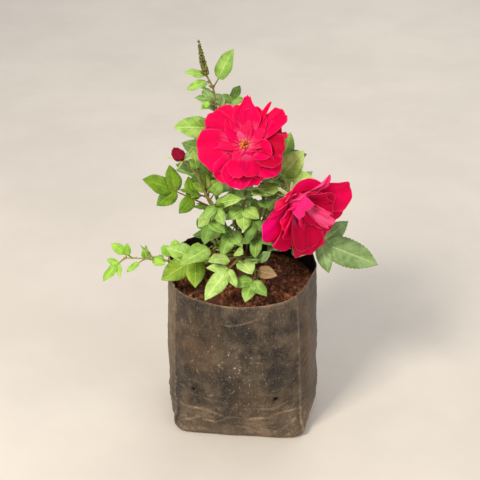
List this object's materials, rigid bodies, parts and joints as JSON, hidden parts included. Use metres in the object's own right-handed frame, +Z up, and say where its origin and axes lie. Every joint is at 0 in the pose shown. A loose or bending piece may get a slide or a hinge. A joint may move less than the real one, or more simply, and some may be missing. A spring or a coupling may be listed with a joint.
{
  "type": "potted rose bush",
  "caption": "Young garden rose in a soft black nursery bag filled with peat, with open crimson blooms, a bud and compound green leaves.",
  "frame": {"origin": "on the bag's flat underside, below the middle of its mouth", "axes": "+Z up, -Y the side that the bush leans and flowers towards, +X to the right of a viewer who stands there"},
  "size_m": [0.239, 0.1561, 0.3488],
  "materials": {
    "film": "thin dusty black film, semi-matt, wrinkled",
    "soil": "damp crumbly coconut peat",
    "old_wood": "rough brown bark",
    "green_wood": "smooth green to reddish bark with prickles",
    "foliage": "toothed leaflets, satin upper side, paler below",
    "young_foliage": "young leaflets, light green, satin",
    "petals": "velvety petals, satin",
    "bud_petals": "furled dark petals, satin",
    "seed_heads": "dry beaded seed head"
  },
  "bodies": {
    "root": {"bag": "film", "soil": "soil", "stem_foot": "old_wood", "cane_bud": "green_wood", "cane_upper": "green_wood", "cane_lower": "green_wood", "cane_spike": "green_wood", "cane_right": "green_wood", "cane_backLeft": "green_wood", "cane_backRight": "green_wood", "bloom_upper": "petals", "bloom_lower": "petals", "flower_bud": "bud_petals", "seed_spike": "seed_heads", "foliage_bud": "foliage", "foliage_upper": "foliage", "foliage_lower": "foliage", "foliage_spike": "foliage", "foliage_right": "foliage", "foliage_backLeft": "foliage", "foliage_backRight": "foliage", "foliage_lowRight": "foliage", "foliage_left": "young_foliage", "foliage_lowLeft": "foliage", "foliage_front": "foliage", "foliage_frontRight": "foliage", "foliage_rear": "foliage"}
  },
  "joints": []
}
